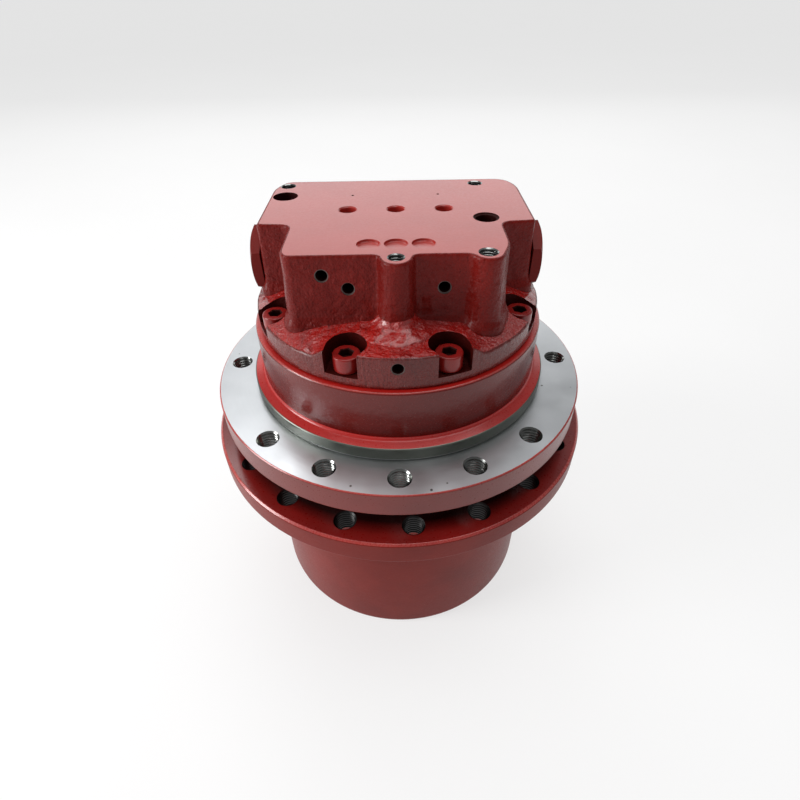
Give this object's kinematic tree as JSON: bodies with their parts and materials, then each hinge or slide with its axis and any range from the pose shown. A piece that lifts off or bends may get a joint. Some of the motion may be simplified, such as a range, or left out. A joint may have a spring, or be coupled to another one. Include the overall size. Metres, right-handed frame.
{
  "type": "excavator final drive",
  "caption": "Planetary travel drive with sprocket flange, frame flange and cast motor port block; hub turns on the spindle through a two-stage gear train.",
  "frame": {"origin": "on the spin axis, in the plane of the hub's rim that the drive stands on", "axes": "+Z along the spin axis towards the motor and port block, -Y towards the front of the port block, X along the counterbalance spool"},
  "size_m": [0.2288, 0.2288, 0.2485],
  "materials": {
    "painted_casting": "red primer gloss over rough casting",
    "ground_steel": "ground",
    "gear_steel": "hardened and ground",
    "dark_steel": "oiled",
    "bronze": "machined",
    "friction_lining": "sintered",
    "seal_rubber": "moulded"
  },
  "bodies": {
    "root": {"motor_case": "painted_casting", "port_block": "painted_casting", "block_screw_1": "painted_casting", "block_screw_2": "painted_casting", "block_screw_3": "painted_casting", "block_screw_4": "painted_casting", "block_screw_5": "painted_casting", "block_screw_6": "painted_casting", "block_screw_7": "painted_casting", "block_screw_8": "painted_casting", "spool_cap_left": "dark_steel", "spool_cap_right": "dark_steel", "spool_spring_left": "dark_steel", "spool_spring_right": "dark_steel", "valve_plate": "bronze", "swash_plate": "dark_steel", "shaft_bearing": "ground_steel", "oil_seal": "seal_rubber", "brake_plate_1": "ground_steel", "brake_plate_2": "ground_steel", "brake_spring": "dark_steel", "spindle_nut": "dark_steel", "bearing_1_inner_ring": "ground_steel", "bearing_2_inner_ring": "ground_steel", "seal_ring_upper": "ground_steel", "seal_oring_upper": "seal_rubber", "planet_pin_2a": "ground_steel", "planet_pin_2b": "ground_steel", "planet_pin_2c": "ground_steel"},
    "hub": {"hub_housing": "painted_casting", "ring_gear": "gear_steel", "end_cover": "painted_casting", "cover_wire_ring": "dark_steel", "cover_oring": "seal_rubber", "fill_plug": "ground_steel", "drain_plug": "ground_steel", "bearing_1_outer_ring": "ground_steel", "bearing_2_outer_ring": "ground_steel", "seal_ring_lower": "ground_steel", "seal_oring_lower": "seal_rubber"},
    "cage_1": {"bearing_1_rollers": "bronze"},
    "cage_2": {"bearing_2_rollers": "bronze"},
    "carrier": {"planet_carrier_1": "dark_steel", "sun_gear_2": "gear_steel"},
    "rotor": {"drive_shaft": "ground_steel", "sun_gear_1": "gear_steel", "cylinder_block": "bronze", "piston_set": "ground_steel", "friction_disc_1": "friction_lining", "friction_disc_2": "friction_lining"},
    "spool": {"counterbalance_spool": "ground_steel"},
    "brake": {"brake_piston": "dark_steel"},
    "planet_1a": {"planet_gear_1a": "gear_steel"},
    "planet_1b": {"planet_gear_1b": "gear_steel"},
    "planet_1c": {"planet_gear_1c": "gear_steel"},
    "planet_2a": {"planet_gear_2a": "gear_steel"},
    "planet_2b": {"planet_gear_2b": "gear_steel"},
    "planet_2c": {"planet_gear_2c": "gear_steel"}
  },
  "joints": [
    {"name": "hub_spin", "type": "hinge", "parent": "root", "child": "hub", "pos_m": [0, 0, 0.1], "axis": [0, 0, 1], "continuous": true},
    {"name": "cage_1_spin", "type": "hinge", "parent": "root", "child": "cage_1", "pos_m": [0, 0, 0.085], "axis": [0, 0, 1], "continuous": true},
    {"name": "cage_2_spin", "type": "hinge", "parent": "root", "child": "cage_2", "pos_m": [0, 0, 0.105], "axis": [0, 0, 1], "continuous": true},
    {"name": "carrier_spin", "type": "hinge", "parent": "root", "child": "carrier", "pos_m": [0, 0, 0.039], "axis": [0, 0, 1], "continuous": true},
    {"name": "rotor_spin", "type": "hinge", "parent": "root", "child": "rotor", "pos_m": [0, 0, 0.17], "axis": [0, 0, 1], "continuous": true},
    {"name": "planet_1a_spin", "type": "hinge", "parent": "carrier", "child": "planet_1a", "pos_m": [0, 0.04125, 0.0255], "axis": [0, 0, 1], "continuous": true},
    {"name": "planet_1b_spin", "type": "hinge", "parent": "carrier", "child": "planet_1b", "pos_m": [-0.03572, -0.02063, 0.0255], "axis": [0, 0, 1], "continuous": true},
    {"name": "planet_1c_spin", "type": "hinge", "parent": "carrier", "child": "planet_1c", "pos_m": [0.03572, -0.02063, 0.0255], "axis": [0, 0, 1], "continuous": true},
    {"name": "planet_2a_spin", "type": "hinge", "parent": "root", "child": "planet_2a", "pos_m": [0, 0.045, 0.056], "axis": [0, 0, 1], "continuous": true},
    {"name": "planet_2b_spin", "type": "hinge", "parent": "root", "child": "planet_2b", "pos_m": [-0.03897, -0.0225, 0.056], "axis": [0, 0, 1], "continuous": true},
    {"name": "planet_2c_spin", "type": "hinge", "parent": "root", "child": "planet_2c", "pos_m": [0.03897, -0.0225, 0.056], "axis": [0, 0, 1], "continuous": true},
    {"name": "spool_slide", "type": "slide", "parent": "root", "child": "spool", "axis": [1, 0, 0], "range_m": [-0.003, 0.003], "stiffness_N_per_m": 2000},
    {"name": "brake_release", "type": "slide", "parent": "root", "child": "brake", "axis": [0, 0, 1], "range_m": [0, 0.0012], "stiffness_N_per_m": 20000, "springref_m": -0.0006}
  ],
  "couplings": [
    {"joint": "cage_1_spin", "follows": "hub_spin", "ratio": 0.5281},
    {"joint": "cage_2_spin", "follows": "hub_spin", "ratio": 0.5281},
    {"joint": "carrier_spin", "follows": "hub_spin", "ratio": -3},
    {"joint": "rotor_spin", "follows": "hub_spin", "ratio": -21},
    {"joint": "planet_1a_spin", "follows": "hub_spin", "ratio": 10.286},
    {"joint": "planet_1b_spin", "follows": "hub_spin", "ratio": 10.286},
    {"joint": "planet_1c_spin", "follows": "hub_spin", "ratio": 10.286},
    {"joint": "planet_2a_spin", "follows": "hub_spin", "ratio": 3},
    {"joint": "planet_2b_spin", "follows": "hub_spin", "ratio": 3},
    {"joint": "planet_2c_spin", "follows": "hub_spin", "ratio": 3}
  ]
}
